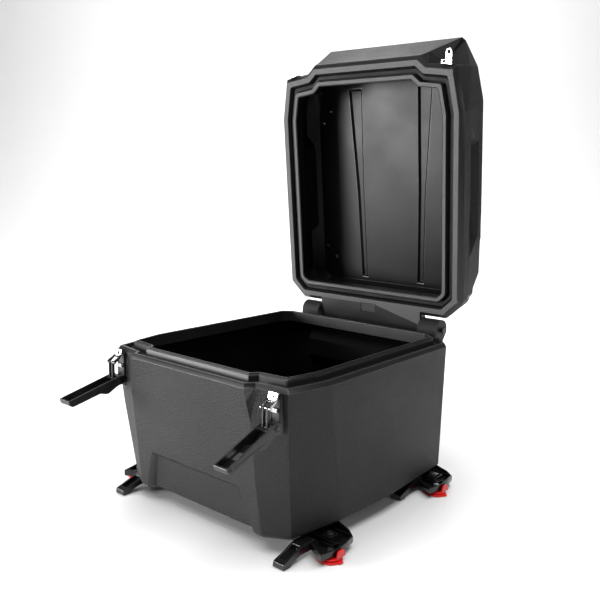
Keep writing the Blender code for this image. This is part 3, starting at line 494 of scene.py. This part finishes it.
# The raised bands on a lever's cheeks, as (distance from the pivot, distance towards its closed side).
UPPER_BAND = [(9.5, -7.2), (15.0, -1.6), (27.0, 3.0), (86.0, -0.6), (99.0, -0.8), (99.0, -3.6), (40.0, -6.4)]
LOWER_BAND = [(31.0, 6.0), (48.0, 4.2), (88.0, 2.6), (98.0, 2.4), (98.0, 6.4), (50.0, 5.6)]
LOWER_BAND += [(37.0, 10.0), (31.0, 10.6)]
DETAIL_SINK, BAND_RISE, BOSS_RISE = 0.3, 0.55, 0.9

# The knurling is rows of studs. Beside the padlock slot only the outermost ones have room.
STUD_ROWS, STUD_COLUMNS, STUD_PITCH = 15, 7, 3.2
FIRST_ROW, FIRST_COLUMN = 51.0, -9.6
SLOT_START, SLOT_END, BESIDE_SLOT = 62.0, 82.0, (-10.0, 8.9)
STUD_HALF, STUD_LOW, STUD_HIGH = 1.0, -6.6, -4.9

CLIP_HALF, CLIP_INNER_HALF = 6.6, 5.8
CLIP_FOOT, CLIP_HEAD, CLIP_ARM_HEAD = -29.0, -22.6, -24.2
CLIP_FRONT, CLIP_BACK, CLIP_ARM_BACK = -2.6, -1.7, 1.3
FLUTE_X, FLUTE_HALF = 8.2, 1.1
FLUTE_FRONT, FLUTE_BACK, FLUTE_FOOT, FLUTE_HEAD = 0.4, 1.9, -58.0, -6.0


def on_cheek(s, t, depth):
    return (depth, -s, -t)


def lever_details(side, sign):
    """Raised bands, bosses and end rings on both cheeks, and the knurled floor of the channel."""
    bm = bmesh.new()
    for cheek in (1, -1):
        low, high = cheek * (LEVER_HALF - DETAIL_SINK), cheek * (LEVER_HALF + BAND_RISE)
        boss_high = cheek * (LEVER_HALF + BOSS_RISE)
        for outline in (UPPER_BAND, LOWER_BAND):
            plate(bm, outline, on_cheek, low, high, bevel=0.3)
        ring(bm, (0.0, 0.0), outer=7.4, inner=5.2, low=low, high=boss_high, sides=28)
        ring(bm, (-LEVER_LENGTH, 0.0), outer=3.9, inner=2.3, low=low, high=high, sides=20)
    for row in range(STUD_ROWS):
        s = FIRST_ROW + row * STUD_PITCH
        columns = [FIRST_COLUMN + STUD_PITCH * k for k in range(STUD_COLUMNS)]
        if SLOT_START < s < SLOT_END:
            columns = sorted(sign * x for x in BESIDE_SLOT)
        for x in columns:
            low = (x - STUD_HALF, -s - STUD_HALF, STUD_LOW)
            box(bm, low, (x + STUD_HALF, -s + STUD_HALF, STUD_HIGH), bevel=0.35)
    added(f"lever_detail_{side}", bm, lever_frame(side, sign), NYLON, f"lever_{side}")


def latch_details(side, sign):
    """A bright spring clip over the bumper, and two flutes down the front of the bracket."""
    place = LAYOUT @ Matrix.Translation((sign * LATCH_X, 0.0, 0.0))
    bm = bmesh.new()
    box(bm, (-CLIP_HALF, CLIP_FRONT, CLIP_FOOT), (CLIP_HALF, CLIP_BACK, CLIP_HEAD), bevel=0.3)
    for low, high in ((-CLIP_HALF, -CLIP_INNER_HALF), (CLIP_INNER_HALF, CLIP_HALF)):
        box(bm, (low, CLIP_FRONT, CLIP_FOOT), (high, CLIP_ARM_BACK, CLIP_ARM_HEAD), bevel=0.25)
    added(f"latch_clip_{side}", bm, place, CHROME, "tub")
    bm = bmesh.new()
    for x in (-FLUTE_X, FLUTE_X):
        low = (x - FLUTE_HALF, FLUTE_FRONT, FLUTE_FOOT)
        box(bm, low, (x + FLUTE_HALF, FLUTE_BACK, FLUTE_HEAD), bevel=0.4)
    added(f"latch_flutes_{side}", bm, place, NYLON, "tub")


# ---------------------------------------------------------------- feet and locks

TRAY_FLOOR_Z, RIB_TOP_Z = -269.4, -261.6
RIBS = [((206.0, 101.5), (244.0, 90.0)), ((214.0, 84.5), (243.0, 87.5))]
FRAME_X, FRAME_OUT_X, FRAME_Y, FRAME_BACK_Y, FRAME_BAR_Y = 199.5, 228.5, 102.0, 132.0, 131.0
FRAME_BARS = [((x, FRAME_Y), (x, FRAME_BACK_Y)) for x in (FRAME_X, FRAME_OUT_X)]
FRAME_BARS += [((FRAME_X, FRAME_BAR_Y), (FRAME_OUT_X, FRAME_BAR_Y))]
RIB_WIDTH, FRAME_WIDTH, FRAME_DROP = 2.0, 1.6, 2.2
TAB = [(74.0, -275.5), (97.0, -275.5), (95.0, -266.0), (90.0, -262.5), (79.0, -262.5), (76.0, -266.0)]
TAB_X, TAB_OUT_X = 258.2, 261.4
LOCK_PLACE = (244.0, 79.0, -274.0)
LOBES, LOBE_CIRCLE, LOBE_R = 10, 18.0, 2.7
LOBE_Z, LOBE_HEIGHT, LOBE_BEVEL = -6.2, 3.0, 0.6


def foot_details(end, side, sign, shift):
    """Ribs and a raised frame round the screw boss in the tray, and the red tab beside it."""
    place = LAYOUT @ Matrix.Translation((0.0, shift, 0.0))
    bm = bmesh.new()
    for bars, width, top in ((RIBS, RIB_WIDTH, RIB_TOP_Z), (FRAME_BARS, FRAME_WIDTH, RIB_TOP_Z - FRAME_DROP)):
        for start, stop in bars:
            bar(bm, (sign * start[0], start[1]), (sign * stop[0], stop[1]), width, TRAY_FLOOR_Z, top)
    added(f"foot_ribs_{end}_{side}", bm, place, GLOSS, "tub")
    bm = bmesh.new()
    plate(bm, TAB, lambda y, z, x: (sign * x, y, z), TAB_X, TAB_OUT_X, bevel=0.8)
    added(f"lock_tab_{end}_{side}", bm, place, RED, "tub")


def knob_details(end, side, sign, shift):
    """Finger lobes round the lower layer of the knob."""
    bm = bmesh.new()
    for i in range(LOBES):
        turn = math.radians((i + 0.5) * 360.0 / LOBES)
        spot = (LOBE_CIRCLE * math.cos(turn), LOBE_CIRCLE * math.sin(turn), LOBE_Z)
        made = bmesh.ops.create_cone(
            bm, cap_ends=True, segments=14, radius1=LOBE_R, radius2=LOBE_R, depth=LOBE_HEIGHT,
            matrix=Matrix.Translation(spot),
        )
        edges = {edge for vert in made["verts"] for edge in vert.link_edges}
        level = [edge for edge in edges if abs(edge.verts[0].co.z - edge.verts[1].co.z) < LOBE_HEIGHT / 2]
        bevelled(bm, level, LOBE_BEVEL)
    x, y, z = LOCK_PLACE
    place = LAYOUT @ Matrix.Translation((sign * x, y + shift, z))
    added(f"lock_lobes_{end}_{side}", bm, place, RED, f"lock_{end}_{side}")


for side, sign in SIDES:
    lever_details(side, sign)
    latch_details(side, sign)
    for end, shift in ENDS:
        foot_details(end, side, sign, shift)
        knob_details(end, side, sign, shift)

# ---------------------------------------------------------------- studio, metres and degrees

LENS, SENSOR, FAR_CLIP = 44.08, 36.0, 50.0  # the first two in millimetres
CAMERA_PLACE = (0.8975, -1.047646, 0.6073)
CAMERA_TURN, CAMERA_TILT, CAMERA_ROLL = 39.676, 9.662, 1.209
FLOOR_NEAR_Y, SWEEP_Y, SWEEP_R, SWEEP_STEPS = -6.0, 3.0, 2.5, 16
WALL_TOP_Z, BACKDROP_HALF = 9.0, 12.0
SKY_ON_THINGS, SKY_IN_VIEW = 0.05, 1.0


def camera():
    """Turned left of the y axis, tilted down, and rolled so that its right side rises."""
    data = bpy.data.cameras.new("camera")
    data.lens = LENS
    data.sensor_width = SENSOR
    data.clip_end = FAR_CLIP
    obj = bpy.data.objects.new("camera", data)
    bpy.context.scene.collection.objects.link(obj)
    turn, tilt, roll = (math.radians(a) for a in (CAMERA_TURN, CAMERA_TILT, CAMERA_ROLL))
    ahead = Vector((-math.sin(turn) * math.cos(tilt), math.cos(turn) * math.cos(tilt), -math.sin(tilt)))
    right = Vector((math.cos(turn), math.sin(turn), 0.0))
    up = right.cross(ahead)
    rolled_right = right * math.cos(roll) + up * math.sin(roll)
    rolled_up = up * math.cos(roll) - right * math.sin(roll)
    axes = Matrix((rolled_right, rolled_up, -ahead)).transposed()
    obj.matrix_world = Matrix.Translation(CAMERA_PLACE) @ axes.to_4x4()
    bpy.context.scene.camera = obj


def backdrop():
    """A pale floor that curves up into a wall behind the box, seen from the camera."""
    g = Graph("backdrop_paint")
    cloud = g.noise(scale=3.0, detail=3.0)
    g.set(Base_Color=g.mix(cloud, grey(0.78), grey(0.80)), Roughness=0.6)
    profile = [(FLOOR_NEAR_Y, 0.0), (SWEEP_Y, 0.0)]
    for i in range(1, SWEEP_STEPS + 1):
        angle = math.pi / 2 * i / SWEEP_STEPS
        profile.append((SWEEP_Y + SWEEP_R * math.sin(angle), SWEEP_R - SWEEP_R * math.cos(angle)))
    profile.append((SWEEP_Y + SWEEP_R, WALL_TOP_Z))
    turn = Matrix.Rotation(math.radians(CAMERA_TURN), 4, "Z")
    bm = bmesh.new()
    rows = []
    for x in (-BACKDROP_HALF, BACKDROP_HALF):
        rows.append([bm.verts.new(turn @ Vector((x, y, z))) for y, z in profile])
    for i in range(len(profile) - 1):
        bm.faces.new((rows[0][i], rows[1][i], rows[1][i + 1], rows[0][i + 1]))
    data = bpy.data.meshes.new("backdrop")
    bm.to_mesh(data)
    bm.free()
    data.shade_smooth()
    data.materials.append(g.material)
    obj = bpy.data.objects.new("backdrop", data)
    bpy.context.scene.collection.objects.link(obj)


def softbox(name, place, aim, size, watts, mirrored=True):
    """A soft lamp. One that isn't mirrored lights surfaces without showing as a highlight on them."""
    data = bpy.data.lights.new(name, "AREA")
    data.shape = "RECTANGLE"
    data.size, data.size_y = size
    data.energy = watts
    obj = bpy.data.objects.new(name, data)
    obj.visible_glossy = mirrored
    bpy.context.scene.collection.objects.link(obj)
    obj.location = place
    obj.rotation_euler = (Vector(aim) - Vector(place)).to_track_quat("-Z", "Y").to_euler()


def sky():
    """A white world that the camera sees in full and that hardly lights the box."""
    world = bpy.data.worlds.new("studio")
    world.use_nodes = True
    nodes, links = world.node_tree.nodes, world.node_tree.links
    nodes["Background"].inputs["Color"].default_value = (1.0, 1.0, 1.0, 1.0)
    path = nodes.new("ShaderNodeLightPath")
    seen = nodes.new("ShaderNodeMapRange")
    seen.inputs["To Min"].default_value = SKY_ON_THINGS
    seen.inputs["To Max"].default_value = SKY_IN_VIEW
    links.new(path.outputs["Is Camera Ray"], seen.inputs["Value"])
    links.new(seen.outputs["Result"], nodes["Background"].inputs["Strength"])
    bpy.context.scene.world = world


def lamps():
    softbox("top", (0.0, 0.0, 2.8), aim=(0.0, 0.0, 0.0), size=(3.4, 3.4), watts=165.0, mirrored=False)
    softbox("left", (-2.0, -2.6, 0.56), aim=(0.0, 0.0, 0.5), size=(1.3, 1.1), watts=135.0)
    softbox("front", (-0.4, -1.9, 2.3), aim=(0.0, 0.0, 0.4), size=(0.8, 0.4), watts=14.0)
    softbox("rim", (-1.2, 1.9, 2.0), aim=(0.0, 0.1, 0.4), size=(0.7, 0.7), watts=6.0)
    softbox("right", (2.4, 0.6, 1.6), aim=(0.0, 0.1, 0.3), size=(0.5, 0.9), watts=8.0)
    softbox(
        "behind", (-1.0, 1.2, 2.8), aim=(-2.4, 4.6, 1.2), size=(2.4, 2.4), watts=210.0, mirrored=False
    )


camera()
backdrop()
sky()
lamps()
bpy.context.scene.view_settings.view_transform = "Standard"
